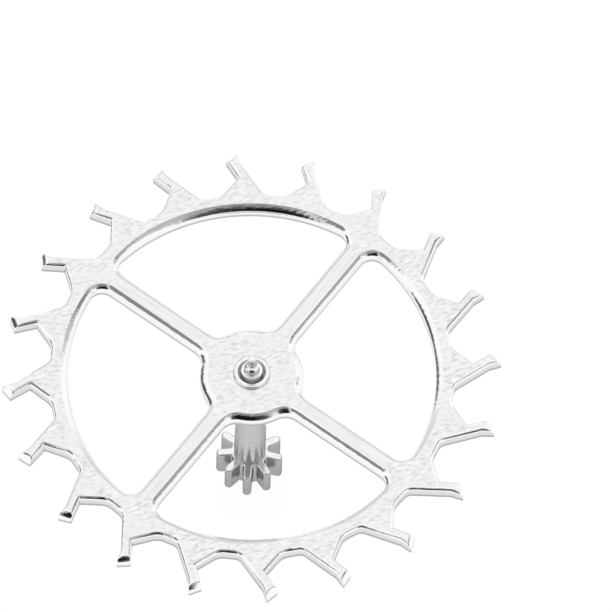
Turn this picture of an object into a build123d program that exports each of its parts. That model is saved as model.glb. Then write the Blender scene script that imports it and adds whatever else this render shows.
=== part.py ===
from build123d import *
from math import pi, radians, tan
import os

# A club-tooth escape wheel of a wrist watch, riveted on the seat of its own pinion.
# Millimetres. The origin is the end of the lower pivot, on the turning axis, and +Z points
# up that axis. Two of the arms lie along X. Seen from above, the teeth lean anticlockwise.

# Wheel
tooth_count = 20
arm_count = 4
heel_radius = 2.300         # circle through the heels, the outermost corners of the teeth
wheel_thickness = 0.140
tooth_depth = 0.440         # heel circle down to the floor of the gaps
rim_width = 0.171           # floor of the gaps to the inside of the rim
arm_width = 0.204
hub_radius = 0.478
rim_corner_fillet = 0.126   # window corners where an arm meets the rim
hub_corner_fillet = 0.157   # window corners where an arm meets the hub
window_bevel = 0.046        # polished bevel round the top of each window
tooth_phase = 5.84          # degrees from an arm to the tooth after it, anticlockwise

# Tooth, about the radius through its middle; the leans are degrees from that radius
toe_drop = 0.073            # locking corner below the heel circle
toe_lead = 0.043            # locking corner ahead of the middle
club_width = 0.109          # locking corner back to the heel, the run of the impulse face
lock_height = 0.188         # height of the locking face
lock_lean = 27.2
shoulder_lean = 43.6
club_height = 0.117         # height of the back of the club
club_lean = 12.2
back_lean = 28.9
shoulder_fillet = 0.150
back_fillet = 0.085
club_bevel = 0.050          # polished bevel along the top of the impulse face
flank_bevel = 0.016         # light bevel along the top of the gaps

# Pinion, cut from the solid with its arbor and pivots
leaf_count = 9
leaf_tip_radius = 0.309
leaf_root_radius = 0.174
leaf_thickness = 0.082
leaf_length = 0.328
leaf_end_bevel = 0.014
gullet_fillet_share = 0.80  # of half the width of a gullet at the root
leaf_phase = 21.9           # degrees from an arm to the leaf after it, anticlockwise

# Arbor, between the pinion's upper face and the wheel's lower face
arbor_length = 1.416
arbor_foot_radius = 0.146
arbor_head_radius = 0.132

# Seat and its riveted lip, over the wheel
seat_radius = 0.110
lip_width = 0.062           # how far the lip spreads over the wheel
lip_height = 0.030
lip_crown = 0.020           # radius that rounds the lip's outer edge
lip_land = 0.022            # flat top of the lip
punch_depth = 0.044         # hollow that the riveting punch leaves inside the lip

# Pivots, both alike: a collar, a post, a trumpet and the pivot itself
pivot_radius = 0.037
pivot_length = 0.100
pivot_end_round = 0.014
trumpet_length = 0.055
post_radius = 0.070
post_height = 0.080
collar_radius = 0.098
collar_height = 0.070

slack = 0.020               # overrun of every cut

root_radius = heel_radius - tooth_depth
rim_inner_radius = root_radius - rim_width
gullet_half_width = pi * leaf_root_radius / leaf_count - leaf_thickness / 2
gullet_fillet = gullet_fillet_share * gullet_half_width
pivot_height = pivot_length + trumpet_length + post_height + collar_height
pinion_base = pivot_height
pinion_top = pinion_base + leaf_length
wheel_base = pinion_top + arbor_length
wheel_top = wheel_base + wheel_thickness
lip_radius = seat_radius + lip_width
punched_floor = wheel_top + lip_height - punch_depth


def run(height, lean):
    """Sideways run of a line that climbs by height and leans from the radius."""
    return height * tan(radians(lean))


def tooth():
    """One club tooth about the Y axis, with its foot buried in the rim; -X is ahead."""
    toe_y = heel_radius - toe_drop
    throat_x = run(lock_height, lock_lean) - toe_lead
    throat_y = toe_y - lock_height
    heel_x = club_width - toe_lead
    neck_x = heel_x + run(club_height, club_lean)
    neck_y = heel_radius - club_height
    foot_y = root_radius - rim_width / 2
    return make_face(Polyline(
        (-toe_lead, toe_y),
        (heel_x, heel_radius),
        (neck_x, neck_y),
        (neck_x + run(neck_y - foot_y, back_lean), foot_y),
        (throat_x - run(throat_y - foot_y, shoulder_lean), foot_y),
        (throat_x, throat_y),
        close=True,
    ))


def wheel_outline():
    """The toothed disc: one tooth filleted into the root disc, turned round the axis."""
    one = Circle(root_radius) + tooth()
    one = fillet(one.vertices().sort_by(Axis.X)[0], shoulder_fillet)
    one = fillet(one.vertices().sort_by(Axis.X)[-1], back_fillet)
    middle = Rotation(0, 0, tooth_phase - 90)
    return Sketch() + [middle * place * one for place in PolarLocations(0, tooth_count)]


def windows():
    """The openings between hub, arms and rim, with round corners."""
    face = Circle(rim_inner_radius) - Circle(hub_radius)
    for place in PolarLocations(0, arm_count):
        face -= place * Pos(rim_inner_radius / 2, 0) * Rectangle(rim_inner_radius + slack, arm_width)
    halfway = (hub_radius + rim_inner_radius) / 2
    face = fillet([v for v in face.vertices() if Vector(*v).length > halfway], rim_corner_fillet)
    return fillet([v for v in face.vertices() if Vector(*v).length < halfway], hub_corner_fillet)


def upper_rim(solid):
    """The edges round the outside of a solid's upper face."""
    return solid.faces().sort_by(Axis.Z)[-1].outer_wire().edges()


def inner_end(edge):
    """How near to the axis an edge of a tooth comes, by its two ends."""
    return min(Vector(end.X, end.Y).length for end in (edge @ 0, edge @ 1))


def escape_wheel():
    """The wheel, with bevels round its windows, over its impulse faces and along its gaps."""
    wheel = extrude(wheel_outline(), wheel_thickness) - extrude(windows(), wheel_thickness)
    upper = wheel.faces().sort_by(Axis.Z)[-1]
    wheel = chamfer([edge for wire in upper.inner_wires() for edge in wire.edges()], window_bevel)
    toe_side = heel_radius - (toe_drop + club_height) / 2
    neck_side = heel_radius - (club_height + lock_height) / 2
    wheel = chamfer([edge for edge in upper_rim(wheel) if inner_end(edge) > toe_side], club_bevel)
    wheel = chamfer([edge for edge in upper_rim(wheel) if inner_end(edge) < neck_side], flank_bevel)
    wheel -= Cylinder(seat_radius, wheel_thickness, align=(Align.CENTER, Align.CENTER, Align.MIN))
    return Pos(0, 0, wheel_base) * wheel


def pivot():
    """A pivot on its trumpet, post and collar, drawn with its own end at the bottom."""
    trumpet_base = pivot_length + trumpet_length
    post_base = trumpet_base + post_height
    half = [
        Line((0, 0), (pivot_radius - pivot_end_round, 0)),
        RadiusArc(
            (pivot_radius - pivot_end_round, 0), (pivot_radius, pivot_end_round), -pivot_end_round
        ),
        Line((pivot_radius, pivot_end_round), (pivot_radius, pivot_length)),
        TangentArc((pivot_radius, pivot_length), (post_radius, trumpet_base), tangent=(0, 1)),
        Polyline(
            (post_radius, trumpet_base),
            (post_radius, post_base),
            (collar_radius, post_base),
            (collar_radius, pivot_height),
            (0, pivot_height),
            (0, 0),
        ),
    ]
    return revolve(Plane.XZ * make_face(half), Axis.Z)


def leaves():
    """The pinion's leaves on their root, with round tips, round gullets and bevelled ends."""
    leaf = Pos(leaf_tip_radius / 2, 0) * SlotOverall(leaf_tip_radius, leaf_thickness)
    section = Circle(leaf_root_radius)
    section += [Rotation(0, 0, leaf_phase) * place * leaf for place in PolarLocations(0, leaf_count)]
    halfway = (leaf_root_radius + leaf_tip_radius - leaf_thickness / 2) / 2
    gullets = [v for v in section.vertices() if Vector(*v).length < halfway]
    solid = extrude(fillet(gullets, gullet_fillet), leaf_length)
    ends = solid.faces().sort_by(Axis.Z)
    solid = chamfer(ends[0].edges() + ends[-1].edges(), leaf_end_bevel)
    return Pos(0, 0, pinion_base) * solid


def arbor():
    """The plain arbor between pinion and wheel, a little thinner towards the wheel."""
    taper = Cone(
        arbor_foot_radius, arbor_head_radius, arbor_length, align=(Align.CENTER, Align.CENTER, Align.MIN)
    )
    return Pos(0, 0, pinion_top) * taper


def seat():
    """The seat through the wheel, and the lip that the punch spread over the wheel's face."""
    land_z = wheel_top + lip_height
    crown_x = lip_radius - lip_crown
    half = [
        Polyline(
            (0, punched_floor),
            (0, wheel_base),
            (seat_radius, wheel_base),
            (seat_radius, wheel_top),
            (lip_radius, wheel_top),
            (lip_radius, land_z - lip_crown),
        ),
        RadiusArc((lip_radius, land_z - lip_crown), (crown_x, land_z), -lip_crown),
        Polyline(
            (crown_x, land_z),
            (crown_x - lip_land, land_z),
            (collar_radius, punched_floor),
            (0, punched_floor),
        ),
    ]
    return revolve(Plane.XZ * make_face(half), Axis.Z)


def escape_pinion():
    """Pivots, leaves, arbor, seat and lip, all one piece of steel."""
    upper_pivot = Pos(0, 0, punched_floor + pivot_height) * Rotation(180, 0, 0) * pivot()
    return pivot() + leaves() + arbor() + seat() + upper_pivot


os.makedirs("parts", exist_ok=True)
for name, solid in {"escape_wheel": escape_wheel(), "escape_pinion": escape_pinion()}.items():
    solid.label = name
    export_step(solid, f"parts/{name}.step")
    print(name, "volume", round(solid.volume, 4), "size", solid.bounding_box().size)
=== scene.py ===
# %% [markdown]
# # A club-tooth escape wheel on its pinion
#
# The object is 4.6 mm across: a flat steel wheel with twenty hooked teeth, riveted on a thin
# arbor that carries a small gear of nine leaves and ends in two pivots as fine as a hair. It
# is all polished steel, so its looks are its reflections, and they need true curves, true
# bevels and true edges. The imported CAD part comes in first. Both of its nodes are then
# replaced by meshes of the same size, which have smoother arcs and softened edges.

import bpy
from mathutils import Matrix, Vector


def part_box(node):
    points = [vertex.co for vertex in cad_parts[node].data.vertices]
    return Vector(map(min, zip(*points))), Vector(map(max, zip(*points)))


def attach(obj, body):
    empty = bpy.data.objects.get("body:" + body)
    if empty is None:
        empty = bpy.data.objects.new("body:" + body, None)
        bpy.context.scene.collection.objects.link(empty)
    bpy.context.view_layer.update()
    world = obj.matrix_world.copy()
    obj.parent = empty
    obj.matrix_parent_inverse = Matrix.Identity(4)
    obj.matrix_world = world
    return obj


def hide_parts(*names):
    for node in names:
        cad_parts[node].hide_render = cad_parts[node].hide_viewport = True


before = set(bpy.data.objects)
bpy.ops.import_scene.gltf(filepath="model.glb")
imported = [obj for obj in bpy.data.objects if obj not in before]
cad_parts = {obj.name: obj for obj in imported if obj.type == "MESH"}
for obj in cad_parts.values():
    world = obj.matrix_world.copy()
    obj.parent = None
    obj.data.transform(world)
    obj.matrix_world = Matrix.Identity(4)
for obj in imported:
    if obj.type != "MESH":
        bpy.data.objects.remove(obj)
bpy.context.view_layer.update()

# %% [markdown]
# Blender works in metres and a watchmaker in millimetres. Each piece is drawn a thousand
# times too large, a unit for a millimetre, and shrunk when it is finished. That keeps the
# numbers readable, and it keeps the bevels sound: at the real size Blender's bevel would take
# two points that lie within a thousandth of a millimetre for one, and here that is a visible
# width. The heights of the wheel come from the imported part, so both lie in the same place.

# %% Units and heights
from collections import Counter, namedtuple
from math import acos, atan2, ceil, cos, degrees, pi, radians, sin, sqrt, tan

import bpy
from mathutils import Matrix, Vector

mm = 0.001
wheel_low, wheel_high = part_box("escape_wheel")
wheel_base = wheel_low.z / mm
wheel_top = wheel_high.z / mm
print("wheel from", round(wheel_base, 3), "to", round(wheel_top, 3), "mm above the lower pivot's end")

# %% [markdown]
# ## Camera
#
# The photograph looks down on the wheel from about 63 degrees, from far away through a long
# lens, so the far teeth look no smaller than the near ones. The camera could be placed by
# eye, but a fit to the outline of the twenty teeth gives its direction, its roll and its
# scale. Other sides are looked at through the same lens, and one longer by a tenth would put
# the camera beyond the distance at which those views are cut off. The object comes after the
# camera, because how fine a curve has to be depends on how many pixels it covers: here a
# millimetre is about 109 pixels.

# %% Camera
camera_azimuth = radians(35.21)     # turned from the line that looks along +Y
camera_elevation = radians(62.72)
camera_roll = radians(1.71)
camera_distance = 0.24968
camera_target = Vector((0.0587, 0.7475, 2.4433)) * mm
lens_length = 1600

camera_data = bpy.data.cameras.new("camera")
camera_data.lens = lens_length
camera_data.sensor_width = 36
camera_data.clip_start = 0.01
camera = bpy.data.objects.new("camera", camera_data)
bpy.context.scene.collection.objects.link(camera)
turn = Matrix.Rotation(camera_azimuth, 4, "Z") @ Matrix.Rotation(pi / 2 - camera_elevation, 4, "X")
camera.matrix_world = (
    Matrix.Translation(camera_target)
    @ turn
    @ Matrix.Rotation(camera_roll, 4, "Z")
    @ Matrix.Translation((0, 0, camera_distance))
)
bpy.context.scene.camera = camera
print("camera at", [round(value / mm, 1) for value in camera.matrix_world.translation], "mm")

# %% [markdown]
# ## A pen for outlines
#
# Wheels of this kind are cut from sheet, so they are an outline with a thickness. An outline
# could be a curve object, but its corners and arcs are easier to hold exactly as a chain of
# edges: one point is extruded along straight runs, and spun about a centre for each arc.
# With no window open, spin turns against the usual sense, so the pen gives it the angle's
# negative. Each arc gets as many steps as keep it within half a thousandth of a millimetre.

# %% The pen
tolerance = 0.0005
pen = Vector((0, 0, 0))

def clear_selection():
    """Back to object mode with nothing selected."""
    if bpy.context.mode != "OBJECT":
        bpy.ops.object.mode_set(mode="OBJECT")
    bpy.ops.object.select_all(action="DESELECT")

def start_line(name, point):
    """A new piece in edit mode that is a single point."""
    global pen
    clear_selection()
    pen = Vector(point)
    bpy.ops.mesh.primitive_plane_add(size=1, location=pen)
    piece = bpy.context.object
    piece.name = piece.data.name = name
    bpy.ops.object.transform_apply(location=True)
    bpy.ops.object.mode_set(mode="EDIT")
    bpy.ops.mesh.select_mode(type="VERT")
    bpy.ops.mesh.select_all(action="SELECT")
    bpy.ops.mesh.merge(type="CENTER")
    return piece

def line_to(point):
    """A straight run from the pen to a point."""
    global pen
    point = Vector(point)
    bpy.ops.mesh.extrude_region_move(TRANSFORM_OT_translate={"value": point - pen})
    pen = point

def arc_steps(angle, radius):
    """How many straight steps keep an arc within the tolerance."""
    return max(2, ceil(abs(angle) / (2 * acos(1 - tolerance / radius))))

def arc_to(point, centre):
    """The shorter arc from the pen to a point, about a centre at the pen's height."""
    global pen
    point, centre = Vector(point), Vector(centre)
    first, last = pen - centre, point - centre
    angle = atan2(first.x * last.y - first.y * last.x, first.x * last.x + first.y * last.y)
    steps = arc_steps(angle, first.length)
    bpy.ops.mesh.spin(steps=steps, angle=-angle, center=centre, axis=(0, 0, 1))
    pen = point

print("a full circle of 1 mm radius would get", arc_steps(2 * pi, 1), "steps")

# %% [markdown]
# ## A quarter of the wheel
#
# A club tooth is a slim arm that ends in a small foot, the club. A stone on the watch's lever
# locks on the front of the club, and is then pushed aside by its sloping end, the impulse
# face. The tooth could be traced point by point, but a few heights and leans are what a wheel
# cutter is given, and they are easier to measure and to change. It is drawn upright about the
# Y axis, and each lean is counted from there.

# %% Sizes of a tooth
tooth_count = 20
heel_radius = 2.300
root_radius = 1.860
tooth_phase = 5.84          # degrees
toe_drop = 0.073
toe_lead = 0.043
club_width = 0.109
lock_height, lock_lean = 0.188, radians(27.2)
club_height, club_lean = 0.117, radians(12.2)
shoulder_lean, shoulder_fillet = radians(43.6), 0.150
back_lean, back_fillet = radians(28.9), 0.085

toe = (-toe_lead, heel_radius - toe_drop)
heel = (club_width - toe_lead, heel_radius)
neck = (heel[0] + club_height * tan(club_lean), heel[1] - club_height)
throat = (toe[0] + lock_height * tan(lock_lean), toe[1] - lock_height)
print("the tooth is", round(heel_radius - root_radius, 3), "mm high, and its club", club_width, "mm wide")

# %% [markdown]
# The tooth runs into the rim with a hollow on either side. A fillet between a straight flank
# and a circle round the axis is the arc that touches both. Its centre lies at its own radius
# from the flank, on the open side, and at the sum or the difference of the two radii from the
# axis. A radius below zero puts the open side on the right of the flank's direction.

# %% Fillets
Fillet = namedtuple("Fillet", "on_flank centre on_circle")

def fillet(point, direction, circle, radius, inside=False):
    """The arc that touches a flank through a point and a circle round the axis."""
    point, direction = Vector((*point, 0)), Vector((*direction, 0)).normalized()
    start = point + Vector((-direction.y, direction.x, 0)) * radius
    far = circle - abs(radius) if inside else circle + abs(radius)
    half = start.dot(direction)
    root = sqrt(half ** 2 - start.length_squared + far ** 2)
    along = -half - root if point.dot(direction) < 0 else -half + root
    centre = start + direction * along
    return Fillet(point + direction * along, centre, centre * (circle / far))

back = fillet(neck, (tan(back_lean), -1), root_radius, back_fillet)
shoulder = fillet(throat, (-tan(shoulder_lean), -1), root_radius, -shoulder_fillet)
print("a tooth's foot runs from", round(back.on_flank.x, 3), "to", round(shoulder.on_flank.x, 3), "mm")

# %% [markdown]
# The wheel repeats itself four times: an arm, five teeth, and half a window on either side.
# A flat face with holes can't be a single face in Blender, but a quarter has no hole in it,
# so it can. That matters for the bevels, which run wild where stray edges of a filled face
# meet the outline at a slant. The quarter's own seams cross the rim and the hub squarely. The
# rim's seam lies in the middle of a gap's floor, which the tooth's two fillets give.

# %% Where the quarter starts
arm_count = 4
tooth_pitch = 360 / tooth_count

def bearing(point):
    """Degrees from the middle of the upright tooth to one of its points, anticlockwise."""
    return degrees(atan2(-point.x, point.y))

floor_lead = (bearing(shoulder.on_circle) + tooth_pitch + bearing(back.on_circle)) / 2
first_gap = tooth_phase - tooth_pitch * (tooth_count / arm_count + 1) / 2 + floor_lead
print("the quarter starts", round(-first_gap, 2), "degrees before its arm")

# %% [markdown]
# The pen starts in the middle of a gap. It draws each tooth from its heel side: up the hollow
# back, round the back of the club, over the impulse face to the locking corner, down the
# locking face and the shoulder, and on to the middle of the next gap. In a sound solid every
# edge joins just two faces, so each step ends with a count of the edges that don't. Now, with
# no face drawn, that is all of them.

# %% Draw the quarter's teeth
axis_point = (0, 0, wheel_top)

def counted(piece):
    """How many points and faces a piece has, and how many edges don't join just two faces."""
    piece.update_from_editmode()
    mesh = piece.data
    uses = Counter(loop.edge_index for loop in mesh.loops)
    unjoined = sum(uses[edge.index] != 2 for edge in mesh.edges)
    counts = f"{len(mesh.vertices)} points, {len(mesh.polygons)} faces"
    return f"{piece.name}: {counts}, {unjoined} unjoined edges"

def placed(point, angle, height):
    """A point of the flat drawing, turned about the axis and raised."""
    turned = Matrix.Rotation(radians(angle), 3, "Z") @ Vector((point[0], point[1], 0))
    return turned + Vector((0, 0, height))

def tooth_point(point, gap):
    """A point of the upright tooth, on the tooth that follows a gap."""
    return placed(point, gap + tooth_pitch - floor_lead - 90, wheel_top)

wheel = start_line("club_tooth_wheel", placed((root_radius, 0), first_gap, wheel_top))
for tooth in range(tooth_count // arm_count):
    gap = first_gap + tooth_pitch * tooth
    arc_to(tooth_point(back.on_circle, gap), axis_point)
    arc_to(tooth_point(back.on_flank, gap), tooth_point(back.centre, gap))
    for corner in (neck, heel, toe, throat, shoulder.on_flank):
        line_to(tooth_point(corner, gap))
    arc_to(tooth_point(shoulder.on_circle, gap), tooth_point(shoulder.centre, gap))
    arc_to(placed((root_radius, 0), gap + tooth_pitch, wheel_top), axis_point)
print(counted(wheel))

# %% [markdown]
# The pen now stands in a gap. It crosses the rim, follows the rim's inside to the arm, runs
# down the arm's side to the hub and along the hub to the seam there, crosses the hub to the
# hole for the seat, goes round that, and comes back the same way on the arm's other side.

# %% Draw the rim, the arm and the hub
arm_half = 0.102
hub_radius, hub_fillet = 0.478, 0.157
rim_radius, rim_fillet = 1.689, 0.126
seat_radius = 0.110
hub_seam = 180 / arm_count
at_hub = fillet((rim_radius, arm_half), (-1, 0), hub_radius, -hub_fillet)
at_rim = fillet((0, arm_half), (1, 0), rim_radius, rim_fillet, inside=True)

def arm_point(point, side=1):
    """A point beside the arm along X, on its left or its right."""
    return placed((point[0], side * point[1]), 0, wheel_top)

line_to(placed((rim_radius, 0), first_gap + 360 / arm_count, wheel_top))
arc_to(arm_point(at_rim.on_circle), axis_point)
arc_to(arm_point(at_rim.on_flank), arm_point(at_rim.centre))
line_to(arm_point(at_hub.on_flank))
arc_to(arm_point(at_hub.on_circle), arm_point(at_hub.centre))
arc_to(placed((hub_radius, 0), hub_seam, wheel_top), axis_point)
line_to(placed((seat_radius, 0), hub_seam, wheel_top))
arc_to(placed((seat_radius, 0), -hub_seam, wheel_top), axis_point)
line_to(placed((hub_radius, 0), -hub_seam, wheel_top))
arc_to(arm_point(at_hub.on_circle, -1), axis_point)
arc_to(arm_point(at_hub.on_flank, -1), arm_point(at_hub.centre, -1))
line_to(arm_point(at_rim.on_flank, -1))
arc_to(arm_point(at_rim.on_circle, -1), arm_point(at_rim.centre, -1))
arc_to(placed((rim_radius, 0), first_gap, wheel_top), axis_point)
line_to(placed((root_radius, 0), first_gap, wheel_top))
print(counted(wheel))

# %% [markdown]
# Merging the ends closes the outline, and one face fills it. Three turned copies complete the
# wheel, whose face is then extruded down by the thickness of the steel. All twenty teeth could
# be drawn one by one, but copies can't differ.

# %% Fill the quarter, repeat it and extrude it
same_point = tolerance / 5          # points closer than this become one

def fill_outline():
    """Closes the outline and fills it with one face."""
    bpy.ops.mesh.select_all(action="SELECT")
    bpy.ops.mesh.remove_doubles(threshold=same_point)
    bpy.ops.mesh.select_all(action="SELECT")
    bpy.ops.mesh.edge_face_add()

def repeat_round(count):
    """Copies the outline round the turning axis and joins the ends."""
    bpy.ops.mesh.select_all(action="SELECT")
    bpy.ops.mesh.spin(
        steps=count - 1,
        dupli=True,
        angle=-2 * pi * (count - 1) / count,
        center=(0, 0, 0),
        axis=(0, 0, 1),
    )
    bpy.ops.mesh.select_all(action="SELECT")
    bpy.ops.mesh.remove_doubles(threshold=same_point)

def extrude_up(height):
    """Gives the flat faces a thickness, with every normal outwards."""
    bpy.ops.mesh.select_all(action="SELECT")
    bpy.ops.mesh.extrude_region_move(TRANSFORM_OT_translate={"value": (0, 0, height)})
    bpy.ops.mesh.select_all(action="SELECT")
    bpy.ops.mesh.normals_make_consistent(inside=False)

fill_outline()
repeat_round(arm_count)
extrude_up(wheel_base - wheel_top)
print(counted(wheel))

# %% [markdown]
# ## Bevels
#
# The upper edges are bevelled by hand on the real wheel: widely round the windows and over
# the impulse faces, lightly along the gaps. In a window the edges would be picked with the
# mouse. A script finds them by where they are instead, which goes on working when a size
# changes.

# %% Pick parts by their place
hair = 0.001                # places closer than this count as the same

def reach(point):
    """Distance from the turning axis."""
    return Vector(point).xy.length

def ends(piece, edge):
    """Where the two ends of an edge lie."""
    return [piece.data.vertices[index].co for index in edge.vertices]

def pick(piece, kind, wanted):
    """Selects the points, edges or faces that pass a test, and nothing else, in edit mode."""
    bpy.ops.object.mode_set(mode="EDIT")
    bpy.ops.mesh.select_mode(type=kind)
    bpy.ops.object.mode_set(mode="OBJECT")
    mesh = piece.data
    for part in (*mesh.vertices, *mesh.edges, *mesh.polygons):
        part.select = False
    for part in {"VERT": mesh.vertices, "EDGE": mesh.edges, "FACE": mesh.polygons}[kind]:
        part.select = wanted(part)
    bpy.ops.object.mode_set(mode="EDIT")

def top_edge(nearest, farthest):
    """A test for edges in the wheel's face whose nearer end lies between two radii."""
    return lambda a, b: (
        min(a.z, b.z) > wheel_top - hair and nearest < min(reach(a), reach(b)) < farthest
    )

in_face = top_edge(0, heel_radius)
print("the wheel's face has", sum(in_face(*ends(wheel, edge)) for edge in wheel.data.edges), "edges")

# %% [markdown]
# A bevel modifier can cut many edges at once, with corners that meet, if each edge carries a
# weight, its own share of the modifier's width. The clubs come first. The modifier cuts at 45
# degrees, and the impulse faces of this wheel slope at 40, so the lower border of each cut is
# raised a little: a resize about the wheel's face moves it straight up.

# %% Bevel the impulse faces
club_bevel, club_slope = 0.058, radians(40)
club_reach = heel_radius - (toe_drop + club_height) / 2
sharp_from = radians(60)    # weights go to edges that fold by more than this
soft_from = radians(30)     # the fold from which an edge without a weight is rounded

def weigh(piece, width, full_width, wanted):
    """Gives the wanted sharp edges the share of the full width that makes a bevel this wide."""
    bpy.ops.object.mode_set(mode="EDIT")
    bpy.ops.mesh.select_mode(type="EDGE")
    bpy.ops.mesh.select_all(action="DESELECT")
    bpy.ops.mesh.edges_select_sharp(sharpness=sharp_from)
    bpy.ops.object.mode_set(mode="OBJECT")
    sharp = {edge.index for edge in piece.data.edges if edge.select}
    pick(piece, "EDGE", lambda edge: edge.index in sharp and wanted(*ends(piece, edge)))
    bpy.ops.transform.edge_bevelweight(value=width / full_width)

def clear_weights():
    """Takes every weight off again."""
    bpy.ops.object.mode_set(mode="EDIT")
    bpy.ops.mesh.select_all(action="SELECT")
    bpy.ops.transform.edge_bevelweight(value=-1)

def soften(piece, width, segments, limit, profile=0.5):
    """A bevel modifier, applied."""
    bpy.ops.object.mode_set(mode="OBJECT")
    bevel = piece.modifiers.new("bevel", "BEVEL")
    bevel.width = width
    bevel.segments = segments
    bevel.profile = profile
    bevel.limit_method = limit
    bevel.angle_limit = soft_from
    bevel.use_clamp_overlap = False
    bpy.ops.object.modifier_apply(modifier=bevel.name)

weigh(wheel, club_bevel, club_bevel, top_edge(club_reach, heel_radius))
soften(wheel, club_bevel, segments=1, limit="WEIGHT")
pick(wheel, "VERT", lambda point: (
    reach(point.co) > club_reach and abs(wheel_top - point.co.z - club_bevel) < hair
))
bpy.ops.transform.resize(value=(1, 1, tan(club_slope)), center_override=axis_point)
clear_weights()
print(counted(wheel))

# %% [markdown]
# The windows and the gaps are then cut together, so that the modifier joins them properly with
# the clubs. Each of these bevels gets two segments in line, and so a ring of points halfway
# down, which the next step needs. The hole for the seat gets no bevel, because the rivet
# covers it.

# %% Bevel the windows and the gaps
window_bevel = 0.048
flank_bevel = 0.028
halfway = (root_radius + rim_radius) / 2
clear_of_seat = 2 * seat_radius
straight = 0.25             # the profile at which a bevel's segments lie in line

weigh(wheel, flank_bevel, window_bevel, top_edge(halfway, heel_radius))
weigh(wheel, window_bevel, window_bevel, top_edge(clear_of_seat, halfway))
soften(wheel, window_bevel, segments=2, limit="WEIGHT", profile=straight)
print(counted(wheel))

# %% [markdown]
# A hand doesn't bevel evenly. On the arms the bevel stays narrow, and it grows wide along the
# hub and along the middle of the rim, where the polishing stick has room. It is also rounded:
# its upper half slopes at 30 degrees and its lower half at 40. The modifier left three rings
# of points at 45 degrees, so each ring is spread from the axis, or towards it, and raised to
# its own depth, both by a share that grows smoothly with the place. The gaps get the two
# slopes as well, and keep their width.

# %% Widen and round the bevels
upper_slope, lower_slope = radians(30), radians(40)
upper_share, lower_share = 0.65, 0.35     # of what a bevel is widened by
hub_extra, rim_extra = 0.022, 0.018
narrow_end, widening = 7, 16              # degrees from an arm
mid_arm = (hub_radius + rim_radius) / 2

def mixed(share):
    """A share between nothing and all, with a soft start and end."""
    share = min(max(share, 0), 1)
    return share ** 2 * (3 - 2 * share)

def near_hub(point):
    """All of it along the hub, none along an arm."""
    return mixed((at_hub.on_flank.x - reach(point)) / (at_hub.on_flank.x - hub_radius))

def mid_rim(point):
    """All of it along the middle of the rim in a window, none next to an arm."""
    from_arm = abs((degrees(atan2(point.y, point.x)) + hub_seam) % (2 * hub_seam) - hub_seam)
    return mixed((from_arm - narrow_end) / widening)

def slope(piece, low, high, width, share_at, ring, extra, steps=16):
    """Slopes the bevels between two radii, and widens them by up to this much."""
    half = width / 2
    for step in range(steps, -1, -1):
        spread = extra * step / max(steps, 1)
        upper_drop = (half + abs(spread) * upper_share) * tan(upper_slope)
        lower_drop = (half + abs(spread) * lower_share) * tan(lower_slope)
        for depth, across, squash in (
            (0, 1 + spread / ring, 1),
            (half, 1 + lower_share * spread / ring, upper_drop / half),
            (width, 1, (upper_drop + lower_drop) / width),
        ):
            pick(piece, "VERT", lambda point: (
                low < reach(point.co) < high
                and abs(wheel_top - point.co.z - depth) < hair
                and round(share_at(point.co) * steps) == step
            ))
            bpy.ops.transform.resize(value=(across, across, squash), center_override=axis_point)

slope(wheel, clear_of_seat, mid_arm, window_bevel, near_hub, hub_radius, -hub_extra)
slope(wheel, mid_arm, halfway, window_bevel, mid_rim, rim_radius, rim_extra)
slope(wheel, halfway, heel_radius, flank_bevel, lambda point: 0, root_radius, 0, steps=0)
print(counted(wheel))

# %% [markdown]
# No real edge is a perfect knife: the last thousandths are round, and catch a thin line of
# light. A second, tiny bevel rounds every edge that is left. It could be done in the shader,
# which costs no points, but then the outline would stay a knife.

# %% Round what is left
soft_edge = 0.010
soften(wheel, soft_edge, segments=3, limit="ANGLE")
print(counted(wheel))

# %% [markdown]
# Smooth shading makes arcs look like arcs, but it also bends the light near the borders of a
# flat face, and a polished flat shows that from every side. Weighted normals alone aren't
# enough, so the borders of the flat faces are marked as sharp first. The piece then takes its
# real size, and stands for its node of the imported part.

# %% Finish the wheel
flat = 0.9999               # upward share of a normal from which a face is flat

def edge_the_flats(piece):
    """Marks the borders of the flat faces as sharp, so that their shading stays flat too."""
    sides = {}
    for face in piece.data.polygons:
        for key in face.edge_keys:
            sides.setdefault(key, set()).add(abs(face.normal.z) > flat)
    pick(piece, "EDGE", lambda edge: len(sides[edge.key]) == 2)
    bpy.ops.mesh.mark_sharp()
    bpy.ops.object.mode_set(mode="OBJECT")

def finish(piece, angle, node):
    """Real size, smooth shading, and the node that the piece stands for."""
    clear_selection()
    piece.select_set(True)
    bpy.context.view_layer.objects.active = piece
    bpy.ops.object.mode_set(mode="EDIT")
    bpy.ops.mesh.select_all(action="SELECT")
    bpy.ops.transform.resize(value=(mm, mm, mm), center_override=(0, 0, 0))
    bpy.ops.object.mode_set(mode="OBJECT")
    bpy.ops.object.shade_smooth_by_angle(angle=radians(angle))
    edge_the_flats(piece)
    normals = piece.modifiers.new("normals", "WEIGHTED_NORMAL")
    normals.keep_sharp = True
    bpy.ops.object.modifier_apply(modifier=normals.name)
    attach(piece, "root")
    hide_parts(node)
    print(counted(piece))

finish(wheel, angle=32, node="escape_wheel")

# %% [markdown]
# ## The pinion's leaves
#
# The leaves of the small gear mesh with the wheel that drives this one. They are cut from the
# solid bar, with a round tip and a round gullet on either side. A leaf could be a box with a
# cylinder for its tip, but those would have to be joined. So the cross-section is drawn with
# the same pen: half a gullet, a fillet, the flank of a leaf, its tip, down again, and back
# along the ring where the arbor stands. Nine of these close up, and are extruded by the
# length of the leaves.

# %% Draw one leaf, fill it and repeat it
leaf_count = 9
leaf_phase = 21.9           # degrees
leaf_tip = 0.309
leaf_root = 0.174
leaf_half = 0.041
gullet_fillet = 0.0158
pinion_base = 0.305
pinion_top = 0.633
foot_radius = 0.146

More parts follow.
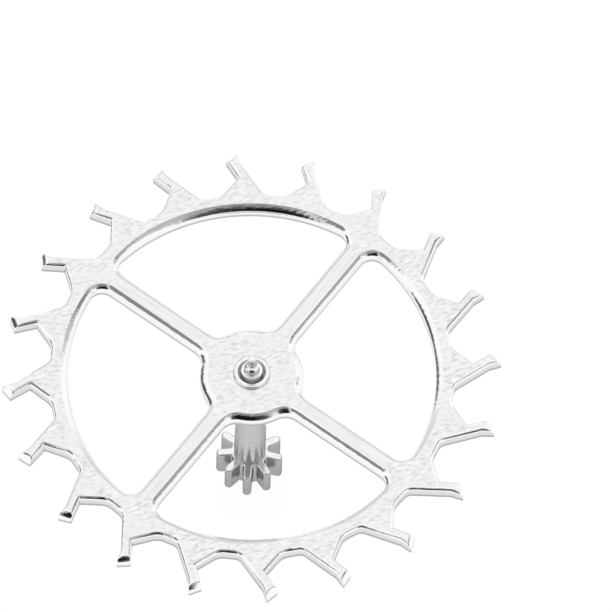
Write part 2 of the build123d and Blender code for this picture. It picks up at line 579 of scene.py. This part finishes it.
tip_centre = (leaf_tip - leaf_half, 0)
tip_start = (tip_centre[0], leaf_half)
flank = fillet((leaf_tip, leaf_half), (-1, 0), leaf_root, -gullet_fillet)
axis_foot = (0, 0, pinion_base)

def leaf_point(point, side=1):
    """A point of the leaf, on its left or its right."""
    return placed((point[0], side * point[1]), leaf_phase, pinion_base)

def gullet_point(radius, side):
    """A point in the middle of the gullet, on the leaf's left or its right."""
    return placed((radius, 0), leaf_phase + side * 180 / leaf_count, pinion_base)

pinion = start_line("leaved_arbor", gullet_point(leaf_root, -1))
arc_to(leaf_point(flank.on_circle, -1), axis_foot)
arc_to(leaf_point(flank.on_flank, -1), leaf_point(flank.centre, -1))
line_to(leaf_point(tip_start, -1))
arc_to(leaf_point((leaf_tip, 0)), leaf_point(tip_centre))
arc_to(leaf_point(tip_start), leaf_point(tip_centre))
line_to(leaf_point(flank.on_flank))
arc_to(leaf_point(flank.on_circle), leaf_point(flank.centre))
arc_to(gullet_point(leaf_root, 1), axis_foot)
line_to(gullet_point(foot_radius, 1))
arc_to(gullet_point(foot_radius, -1), axis_foot)
line_to(gullet_point(leaf_root, -1))
fill_outline()
repeat_round(leaf_count)
extrude_up(pinion_top - pinion_base)
print(counted(pinion))

# %% [markdown]
# The extrusion also made a wall inside the ring. It would be buried in the steel, so it goes,
# and leaves two open circles of edges, one for each end of the arbor.

# %% Open the middle
def inner_wall(face):
    """Whether a face is part of the wall inside the ring."""
    return abs(face.normal.z) < 0.5 and reach(face.center) < foot_radius

pick(pinion, "FACE", inner_wall)
bpy.ops.mesh.delete(type="FACE")
print(counted(pinion))

# %% [markdown]
# ## Arbor, rivet and pivots
#
# The rest was turned on a lathe. The rivet is the seat's own edge, spread over the wheel by a
# punch with a hollow nose, so it is a low ring with a hollow inside it. The upper pivot stands
# in that hollow on a collar, a thicker post and a trumpet, the curved cone that keeps so thin
# a pivot from snapping. The trumpet's arc starts along the pivot's own side, and its radius
# follows from how far it narrows over its length. The lower pivot is its twin.

# %% Sizes of both ends
head_radius = 0.132
lip_radius = 0.172
lip_height = 0.030
lip_crown = 0.020
lip_land = 0.022
punch_depth = 0.044
collar_radius = 0.098
collar_height = 0.070
post_radius = 0.070
post_height = 0.080
trumpet_length = 0.055
trumpet_steps = 8
pivot_radius = 0.037
pivot_length = 0.100
pivot_round = 0.014

land = wheel_top + lip_height
punched_floor = land - punch_depth
narrowing = post_radius - pivot_radius
trumpet_radius = (narrowing ** 2 + trumpet_length ** 2) / (2 * narrowing)
print("the trumpet is an arc of", round(trumpet_radius, 3), "mm radius")

# %% [markdown]
# Each end is made like the steps of a turned profile: its open circle of edges is extruded
# straight up or down and scaled to its new radius, again and again. A profile spun round the
# axis would do as well, but its points wouldn't meet those of the leaves.

# %% Turn both ends
def turn_profile(piece, profile):
    """Extrudes a ring to each radius and height of a profile in turn, and closes the end."""
    first_radius, first_height = profile[0]

    def in_ring(edge):
        return all(
            abs(end.z - first_height) < hair and abs(reach(end) - first_radius) < hair
            for end in ends(piece, edge)
        )

    pick(piece, "EDGE", in_ring)
    for (radius, height), (new_radius, new_height) in zip(profile, profile[1:]):
        rise = (0, 0, new_height - height)
        bpy.ops.mesh.extrude_edges_move(TRANSFORM_OT_translate={"value": rise})
        share = new_radius / radius
        bpy.ops.transform.resize(value=(share, share, 1), center_override=(0, 0, new_height))
    bpy.ops.mesh.edge_face_add()

def pivot_profile(foot, way):
    """Collar, post, trumpet and pivot from the foot of the collar, upwards or downwards."""
    post_foot = foot + way * collar_height
    trumpet_foot = post_foot + way * post_height
    trumpet = []
    for step in range(1, trumpet_steps + 1):
        height = trumpet_length * step / trumpet_steps
        left = trumpet_length - height
        radius = pivot_radius + trumpet_radius - sqrt(trumpet_radius ** 2 - left ** 2)
        trumpet.append((radius, trumpet_foot + way * height))
    return [
        (collar_radius, foot),
        (collar_radius, post_foot),
        (post_radius, post_foot),
        (post_radius, trumpet_foot),
        *trumpet,
        (pivot_radius, trumpet_foot + way * (trumpet_length + pivot_length)),
    ]

turn_profile(pinion, [
    (foot_radius, pinion_top),
    (head_radius, wheel_base),
    (seat_radius, wheel_base),
    (seat_radius, wheel_top),
    (lip_radius, wheel_top),
    (lip_radius, land),
    (lip_radius - lip_crown - lip_land, land),
    *pivot_profile(punched_floor, 1),
])
turn_profile(pinion, [(foot_radius, pinion_base), *pivot_profile(pinion_base, -1)])
bpy.ops.mesh.select_all(action="SELECT")
bpy.ops.mesh.normals_make_consistent(inside=False)
print(counted(pinion))

# %% [markdown]
# Three kinds of edge are rounded, in one go by their weights: the crown of the rivet, where
# the punch pressed the steel over, the ends of the pivots, and the ends of the leaves, which
# are only broken with a stone.

# %% Round the pinion's edges
leaf_bevel = 0.016

def crown_edge(a, b):
    """Whether an edge runs round the top of the rivet."""
    return min(reach(a), reach(b)) > lip_radius - hair and min(a.z, b.z) > land - hair

def pivot_edge(a, b):
    """Whether an edge runs round the end of a pivot."""
    at_an_end = max(a.z, b.z) < hair or min(a.z, b.z) > land + hair
    return max(reach(a), reach(b)) < post_radius and at_an_end

def leaf_edge(a, b):
    """Whether an edge runs round the end of a leaf."""
    is_level = abs(a.z - b.z) < hair and min(a.z, b.z) < wheel_base - hair
    return min(reach(a), reach(b)) > leaf_root - hair and is_level

weigh(pinion, lip_crown, lip_crown, crown_edge)
weigh(pinion, pivot_round, lip_crown, pivot_edge)
weigh(pinion, leaf_bevel, lip_crown, leaf_edge)
soften(pinion, lip_crown, segments=4, limit="WEIGHT")
finish(pinion, angle=35, node="escape_pinion")

# %% [markdown]
# ## Steel
#
# Both pieces are hardened steel, and what tells their surfaces apart is how they were
# finished. Steel has next to no colour of its own under a white light, only the share of it
# that it gives back, its roughness, and the marks that lie in it. A metal in Blender turns
# white at a glancing angle, and the tint here lowers that.

# %% A plain steel
def new_steel(name, level, roughness, glancing=0.55):
    """A steel that gives back this share of the light, and less at a glancing angle."""
    steel = bpy.data.materials.new(name)
    steel.use_nodes = True
    shader = steel.node_tree.nodes["Principled BSDF"]
    shader.inputs["Base Color"].default_value = (level, level, level, 1)
    shader.inputs["Metallic"].default_value = 1
    shader.inputs["Roughness"].default_value = roughness
    shader.inputs["Specular Tint"].default_value = (glancing, glancing, glancing, 1)
    return steel, shader

lapped, lapped_shader = new_steel("lapped_steel", level=0.87, roughness=0.12)
print("made", lapped.name)

# %% [markdown]
# The flat top is lapped on a plate. That leaves fine short dashes, all much in one direction.
# They could be painted on an image, but noise that is stretched one way gives them at any
# size. It reads object coordinates, turned to millimetres and along the marks, so the marks
# keep to the object from every side.

# %% Marks in one direction
lay = 52                    # degrees, the way the marks on the top run

def add_node(material, kind, **values):
    """A node with some of its own settings."""
    node = material.node_tree.nodes.new(kind)
    for name, value in values.items():
        setattr(node, name, value)
    return node

def marks(material, count, angle=0, detail=3):
    """Noise with so many marks to the millimetre in each direction, turned about the axis."""
    place = add_node(material, "ShaderNodeTexCoord")
    turned = add_node(material, "ShaderNodeVectorRotate", rotation_type="Z_AXIS")
    turned.inputs["Angle"].default_value = -radians(angle)
    scaled = add_node(material, "ShaderNodeMapping")
    scaled.inputs["Scale"].default_value = Vector(count) / mm
    noise = add_node(material, "ShaderNodeTexNoise")
    noise.inputs["Scale"].default_value = 1
    noise.inputs["Detail"].default_value = detail
    links = material.node_tree.links
    links.new(place.outputs["Object"], turned.inputs["Vector"])
    links.new(turned.outputs["Vector"], scaled.inputs["Vector"])
    links.new(scaled.outputs["Vector"], noise.inputs["Vector"])
    return noise.outputs["Fac"]

scratches = marks(lapped, (16, 38, 38), lay, detail=4)
patches = marks(lapped, (3, 5, 5), lay)
grain = marks(lapped, (4, 60, 60), lay)
print("the lapped steel has", len(lapped.node_tree.nodes), "nodes")

# %% [markdown]
# The dashes are a little duller than the ground between them, with a few brighter ones, and
# they lie in patches. Patterns are put together like numbers for that: a span of each is
# stretched between two values, and then they are added or multiplied.

# %% Dashes in patches
ground = 0.88               # what the top gives back between the marks

def joined(material, operation, first, second, **values):
    """Two patterns, or a pattern and a number, in one sum or product."""
    both = add_node(material, "ShaderNodeMath", operation=operation, **values)
    material.node_tree.links.new(first, both.inputs[0])
    if isinstance(second, float):
        both.inputs[1].default_value = second
    else:
        material.node_tree.links.new(second, both.inputs[1])
    return both.outputs["Value"]

def ranged(material, source, span, between, **values):
    """A span of a pattern's range, stretched between two values."""
    ranger = add_node(material, "ShaderNodeMapRange", **values)
    material.node_tree.links.new(source, ranger.inputs["Value"])
    for name, value in zip(("From Min", "From Max", "To Min", "To Max"), (*span, *between)):
        ranger.inputs[name].default_value = value
    return ranger.outputs["Result"]

dull = ranged(lapped, scratches, (0.38, 0.49), (0.70, ground))
bright = ranged(lapped, scratches, (0.55, 0.66), (0, 0.09))
dashes = joined(lapped, "SUBTRACT", joined(lapped, "ADD", dull, bright), ground)
specks = joined(lapped, "MULTIPLY", dashes, ranged(lapped, patches, (0.35, 0.60), (0.30, 1.0)))
print("the lapped steel has", len(lapped.node_tree.nodes), "nodes")

# %% [markdown]
# On the arms fine lines run with the arm instead. Noise lies along the radius where its place
# is the distance from the axis and the angle round it, in place of X and Y. The angle jumps
# after a full turn, so the pattern is turned until the jump falls between two arms.

# %% Lines along the arms
middle = (0.35, 0.65)       # most of what noise gives lies between these

def spokes(material, along, around):
    """Noise with so many marks to the millimetre and to the radian, and the radius."""
    place = add_node(material, "ShaderNodeTexCoord")
    level_place = add_node(material, "ShaderNodeMapping")
    level_place.inputs["Scale"].default_value = (1 / mm, 1 / mm, 0)
    level_place.inputs["Rotation"].default_value = (0, 0, radians(hub_seam))
    parts = add_node(material, "ShaderNodeSeparateXYZ")
    far = add_node(material, "ShaderNodeVectorMath", operation="LENGTH")
    polar = add_node(material, "ShaderNodeCombineXYZ")
    noise = add_node(material, "ShaderNodeTexNoise")
    noise.inputs["Scale"].default_value = 1
    links = material.node_tree.links
    links.new(place.outputs["Object"], level_place.inputs["Vector"])
    links.new(level_place.outputs["Vector"], parts.inputs["Vector"])
    links.new(level_place.outputs["Vector"], far.inputs[0])
    angle = joined(material, "ARCTAN2", parts.outputs["Y"], parts.outputs["X"])
    links.new(joined(material, "MULTIPLY", far.outputs["Value"], along), polar.inputs["X"])
    links.new(joined(material, "MULTIPLY", angle, around), polar.inputs["Y"])
    links.new(polar.outputs["Vector"], noise.inputs["Vector"])
    return noise.outputs["Fac"], far.outputs["Value"]

def mixed_by(material, share, first, second):
    """Passes from one pattern to another as a share grows from nothing to one."""
    mixer = add_node(material, "ShaderNodeMix")
    for source, socket in zip((share, first, second), ("Factor", "A", "B")):
        material.node_tree.links.new(source, mixer.inputs[socket])
    return mixer.outputs["Result"]

def feed(material, pattern, shader, socket="Base Color"):
    """Lets a pattern set one of a shader's values."""
    material.node_tree.links.new(pattern, shader.inputs[socket])

streaks, radius = spokes(lapped, along=2.5, around=45.0)
past_hub = ranged(lapped, radius, (0.50, 0.66), (0, 1))
before_rim = ranged(lapped, radius, (rim_radius - 0.2, rim_radius - 0.05), (1, 0))
on_arm = joined(lapped, "MULTIPLY", past_hub, before_rim)
lines = ranged(lapped, streaks, middle, (-0.06, 0.03))
shade = joined(lapped, "ADD", mixed_by(lapped, on_arm, specks, lines), ground)
feed(lapped, shade, lapped_shader)
feed(lapped, ranged(lapped, grain, (0.3, 0.7), (0.10, 0.18)), lapped_shader, "Roughness")
print("the lapped steel has", len(lapped.node_tree.nodes), "nodes")

# %% [markdown]
# The bevels and the walls of the windows are polished, and are the brightest steel here. A
# slight bump breaks their reflections, as hand work does. The walls of the gaps are duller,
# as the cutter left them. Both are painted darker towards the underside, as painted shade for
# the shadowed floor that they would mirror below the wheel, which draws a fine grey outline.

# %% Polished bevels and cut walls
def height(material):
    """The height of the place, in millimetres."""
    place = add_node(material, "ShaderNodeTexCoord")
    parts = add_node(material, "ShaderNodeSeparateXYZ")
    material.node_tree.links.new(place.outputs["Object"], parts.inputs["Vector"])
    return joined(material, "DIVIDE", parts.outputs["Z"], mm)

def bump(material, shader, pattern, depth):
    """Lets a pattern raise the surface by up to this depth in millimetres."""
    bumps = add_node(material, "ShaderNodeBump")
    bumps.inputs["Distance"].default_value = depth * mm
    material.node_tree.links.new(pattern, bumps.inputs["Height"])
    material.node_tree.links.new(bumps.outputs["Normal"], shader.inputs["Normal"])

polished, shader = new_steel("polished_steel", level=0.96, roughness=0.05, glancing=0.8)
# painted shade: darker towards the underside, for the shadowed floor mirrored below the wheel
shaded_lower_edge = (wheel_base + 0.028, wheel_base + 0.060)
feed(polished, ranged(polished, height(polished), shaded_lower_edge, (0.50, 0.96)), shader)
bump(polished, shader, marks(polished, (14, 30, 30), lay, detail=4), depth=0.002)

cut, shader = new_steel("cut_steel", level=0.78, roughness=0.25, glancing=0.8)
# painted shade: darker towards the underside, for the shadowed floor mirrored below the wheel
shaded_lower_wall = (wheel_base + 0.025, wheel_base + 0.055)
feed(cut, ranged(cut, height(cut), shaded_lower_wall, (0.42, 0.78)), shader)
print("made", polished.name, "and", cut.name)

# %% [markdown]
# The pinion has four steels. Its flat faces, such as the ends of the leaves and the top of
# the rivet, are faced bright. The leaves and the arbor are turned and cut, with fine rings
# round the axis. Their steel is painted dark, and darker still from the ends of the leaves
# down, as painted shade for the shadowed floor that they mirror below the wheel. The hollow
# inside the rivet is painted dark as shade, with spots. The upper pivot, its post and its
# collar are burnished, which spreads the light.

# %% The pinion's steels
def spotted_steel(name, level, roughness, count, between):
    """A steel that changes from mark to mark between two shares of the light."""
    steel, shader = new_steel(name, level, roughness)
    feed(steel, ranged(steel, marks(steel, count), middle, between), shader)
    return steel

faced = spotted_steel("faced_steel", 0.92, 0.12, (25, 25, 25), (0.86, 0.96))
# painted shade: the hollow inside the rivet is darkened as shade, with random spots
hollow_shade = spotted_steel("hollow_shade_steel", 0.60, 0.15, (40, 40, 40), (0.54, 0.64))
burnished = spotted_steel("burnished_steel", 0.96, 0.28, (4, 4, 80), (0.90, 0.98))

# painted shade: the turned steel is kept dark for the shadowed floor it mirrors below the wheel
turned, shader = new_steel("turned_steel", level=0.62, roughness=0.20)
rings = ranged(turned, marks(turned, (3, 3, 70)), middle, (0.96, 1.02))
leaf_ends = (pinion_top - 0.03, pinion_top + 0.04)
# painted shade: darker on the leaves and below them than on the arbor above
depth = ranged(turned, height(turned), leaf_ends, (0.46, 0.62))
feed(turned, joined(turned, "MULTIPLY", rings, depth), shader)
print("made", [steel.name for steel in (faced, hollow_shade, burnished, turned)])

# %% [markdown]
# Each steel goes to the faces that were finished that way, and those are found by where they
# are and which way they look. A later steel takes its faces over from an earlier one, so the
# first can go everywhere.

# %% Dress the wheel
nearly_flat = 0.98          # upward share of a normal, below which a face slopes
upright = 0.2               # and below which it is a wall

def dress(piece, steel, wanted=lambda face: True):
    """Gives a steel to the faces of a piece that pass a test."""
    clear_selection()
    bpy.context.view_layer.objects.active = piece
    piece.select_set(True)
    piece.data.materials.append(steel)
    pick(piece, "FACE", wanted)
    print(piece.name, "has", piece.data.total_face_sel, "faces of", steel.name)
    piece.active_material_index = len(piece.data.materials) - 1
    bpy.ops.object.material_slot_assign()
    bpy.ops.object.mode_set(mode="OBJECT")

def slopes(face):
    """Whether a face is anything but a flat top."""
    return face.normal.z < nearly_flat

def cut_wall(face):
    """Whether a face is a wall of a gap, and not an impulse face or the rim's inside."""
    outwards = face.normal.xy.dot(face.center.xy.normalized())
    far = reach(face.center / mm)
    return abs(face.normal.z) < upright and far > halfway and (outwards < 0.5 or far < club_reach)

dress(wheel, lapped)
dress(wheel, polished, slopes)
dress(wheel, cut, cut_wall)

# %% [markdown]
# On the pinion the same way of asking finds the turned sides below the wheel, the hollow
# between the collar and the rivet, and everything upright that stands above it.

# %% Dress the pinion
def turned_side(face):
    """Whether a face lies below the wheel and isn't a flat top."""
    return slopes(face) and face.center.z < wheel_base * mm

def in_hollow(face):
    """Whether a face lies in the hollow between the collar and the rivet's land."""
    at_depth = (punched_floor - hair) * mm < face.center.z < (land - hair) * mm
    return at_depth and collar_radius + hair < reach(face.center / mm) < lip_radius - lip_crown

def on_pivot(face):
    """Whether a face is a side of the upper pivot, its trumpet, its post or its collar."""
    above = face.center.z > land * mm and reach(face.center / mm) < collar_radius
    return above and abs(face.normal.z) < 0.7

dress(pinion, faced)
dress(pinion, turned, turned_side)
dress(pinion, hollow_shade, in_hollow)
dress(pinion, burnished, on_pivot)

# %% [markdown]
# ## Stage and light
#
# The object stands before a pure white ground, and polished steel shows whatever is round it.
# Lamps could light the floor up to white, but they would burn the steel out as well. So the
# floor glows by itself for the camera and for reflections, and is a little grey to other
# light, so that it still takes the object's soft shadow. From beneath it is clear, so that
# the underside can be looked at too.

# %% Floor
floor_width = 0.6
paper_grey = 0.20
paper_glow = 0.88

bpy.ops.mesh.primitive_plane_add(size=floor_width)
floor = bpy.context.object
floor.name = "floor"
paper = bpy.data.materials.new("paper")
paper.use_nodes = True
shader = paper.node_tree.nodes["Principled BSDF"]
shader.inputs["Base Color"].default_value = (paper_grey, paper_grey, paper_grey, 1)
shader.inputs["Roughness"].default_value = 1
shader.inputs["Specular IOR Level"].default_value = 0
shader.inputs["Emission Color"].default_value = (1, 1, 1, 1)
rays = add_node(paper, "ShaderNodeLightPath").outputs
mirrored = joined(paper, "ADD", rays["Is Glossy Ray"], rays["Is Transmission Ray"])
seen = joined(paper, "ADD", rays["Is Camera Ray"], mirrored, use_clamp=True)
feed(paper, joined(paper, "MULTIPLY", seen, paper_glow), shader, "Emission Strength")
clear = add_node(paper, "ShaderNodeMath", operation="SUBTRACT")
clear.inputs[0].default_value = 1
beneath = add_node(paper, "ShaderNodeNewGeometry").outputs["Backfacing"]
paper.node_tree.links.new(beneath, clear.inputs[1])
feed(paper, clear.outputs["Value"], shader, "Alpha")
floor.data.materials.append(paper)
print("the floor is", round(floor_width / mm), "mm wide")

# %% [markdown]
# The light is an even white dome with twelve dark places in it, which are what a
# photographer's black cards would be: a bevel that faces one turns dark and draws an edge of
# the wheel. Cards as objects would do the same, but their hard edges would show in the steel,
# and a place in the dome can fade out. Four of them lie on the viewer's side, for the fronts
# of hub, rim and clubs. Four stand to the left and the right of those, two lie low at the
# left, and two faint ones low behind. All are small, because the flat top mirrors them too
# when it is seen from another side.

# %% Dark places
dome = bpy.data.worlds.new("dome")
bpy.context.scene.world = dome
dome.use_nodes = True
dark_places = (             # azimuth, elevation, inner and outer radius in degrees, and depth
    (-15, 33, 6, 22, 0.92),
    (17, 34, 8, 23, 0.92),
    (-8, 36, 12, 20, 0.8),
    (0, 52, 10, 26, 0.65),
    (-56, 48, 10, 15, 0.75),
    (86, 42, 10, 16, 0.6),
    (104, 34, 8, 16, 0.45),
    (52, 52, 8, 18, 0.5),
    (-94, 14, 9, 15, 0.9),
    (-115, 8, 8, 14, 0.85),
    (161, 7, 12, 26, 0.28),
    (-148, 12, 12, 26, 0.28),
)

def dark_place(azimuth, elevation, inner, outer, depth):
    """What is left of the light round a direction, which is given from the viewer's own."""
    around = camera_azimuth - pi / 2 + radians(azimuth)
    up = radians(elevation)
    place = add_node(dome, "ShaderNodeTexCoord")
    near = add_node(dome, "ShaderNodeVectorMath", operation="DOT_PRODUCT")
    near.inputs[1].default_value = (cos(up) * cos(around), cos(up) * sin(around), sin(up))
    dome.node_tree.links.new(place.outputs["Generated"], near.inputs[0])
    span = (cos(radians(outer)), cos(radians(inner)))
    left = (1, 1 - depth)
    return ranged(dome, near.outputs["Value"], span, left, interpolation_type="SMOOTHSTEP")

level = dark_place(*dark_places[0])
for values in dark_places[1:]:
    level = joined(dome, "MULTIPLY", level, dark_place(*values))
print(len(dark_places), "dark places")

# %% [markdown]
# The camera itself sees the dome as plain white, and only the object sees the dark places.
# The view is left at Standard, so that white stays white and a colour renders as written.

# %% White ground
looked_at = add_node(dome, "ShaderNodeLightPath").outputs["Is Camera Ray"]
level_seen = joined(dome, "ADD", level, looked_at, use_clamp=True)
feed(dome, level_seen, dome.node_tree.nodes["Background"], "Color")
bpy.context.scene.view_settings.view_transform = "Standard"
print("the dome has", len(dome.node_tree.nodes), "nodes")
